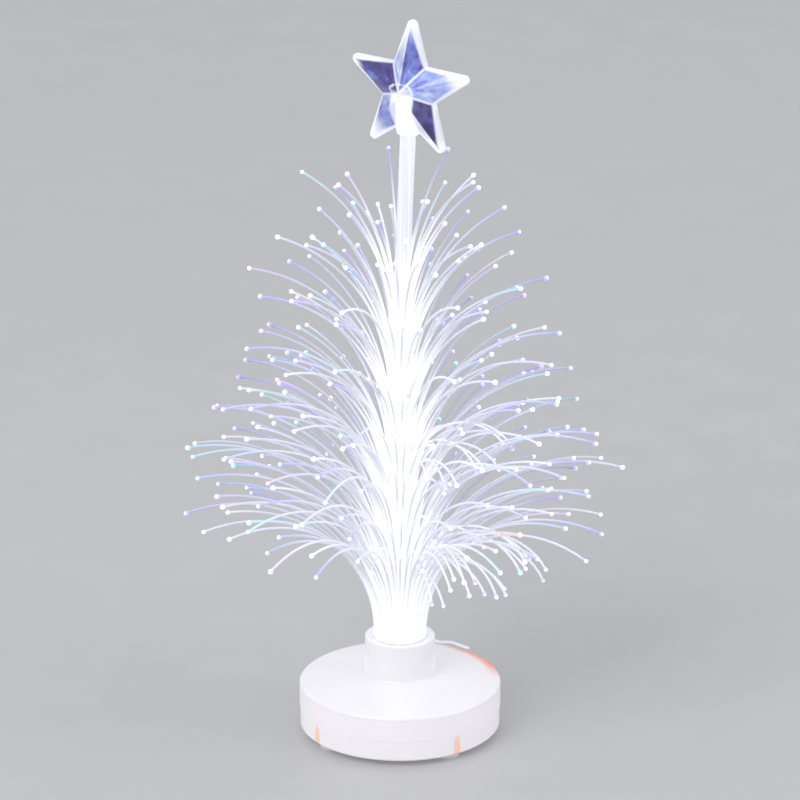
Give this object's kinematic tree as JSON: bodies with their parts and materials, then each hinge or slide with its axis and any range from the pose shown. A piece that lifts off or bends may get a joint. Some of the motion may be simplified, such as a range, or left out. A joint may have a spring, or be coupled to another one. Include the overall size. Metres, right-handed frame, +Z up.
{
  "type": "fiber optic christmas tree",
  "caption": "Small table-top fibre optic tree: a round lit battery base and neck hold arching clear fibres in tiers and a centre rod with a faceted star on top.",
  "frame": {"origin": "centre of the round base, on the surface that its four feet stand on", "axes": "+Z up along the trunk; the star's front face looks towards -Y; +X is to the right seen from the front"},
  "size_m": [0.0736, 0.073, 0.124],
  "materials": {
    "milky_shell": "translucent milky white, glossy moulded",
    "screw_steel": "zinc plated",
    "cell_can": "nickel plated",
    "contact_metal": "nickel plated spring brass",
    "board": "green solder mask",
    "chip": "black epoxy",
    "lamp_lens": "water clear epoxy",
    "white_collar": "matt moulded",
    "switch_case": "tinned",
    "switch_knob": "matt black",
    "clear_ferrule": "clear moulded",
    "clear_rod": "polished clear acrylic",
    "clear_star": "polished clear acrylic with a faint violet cast",
    "clear_fibre": "clear light-guide fibre with bright cut ends"
  },
  "bodies": {
    "root": {"upper_shell": "milky_shell", "lower_shell": "milky_shell", "shell_screws": "screw_steel", "coin_cell": "cell_can", "negative_contact": "contact_metal", "positive_contact": "contact_metal", "circuit_board": "board", "board_screws": "screw_steel", "colour_chip": "chip", "lamp": "lamp_lens", "lamp_leads": "contact_metal", "lamp_collar": "white_collar", "switch_housing": "switch_case", "bundle_ferrule": "clear_ferrule", "centre_rod": "clear_rod", "star": "clear_star", "fibre_tier_1": "clear_fibre", "fibre_tier_2": "clear_fibre", "fibre_tier_3": "clear_fibre", "fibre_tier_4": "clear_fibre", "fibre_tier_5": "clear_fibre", "fibre_tier_6": "clear_fibre", "fibre_tier_7": "clear_fibre", "fibre_tier_8": "clear_fibre"},
    "battery_hatch": {"battery_hatch": "milky_shell"},
    "switch_slider": {"switch_slider": "switch_knob"}
  },
  "joints": [
    {"name": "hatch_turn", "type": "hinge", "parent": "root", "child": "battery_hatch", "pos_m": [0, 0, 0.0016], "axis": [0, 0, 1], "range_deg": [0, 30]},
    {"name": "switch_slide", "type": "slide", "parent": "root", "child": "switch_slider", "axis": [0.9239, 0.3827, 0], "range_m": [0, 0.0018]}
  ]
}
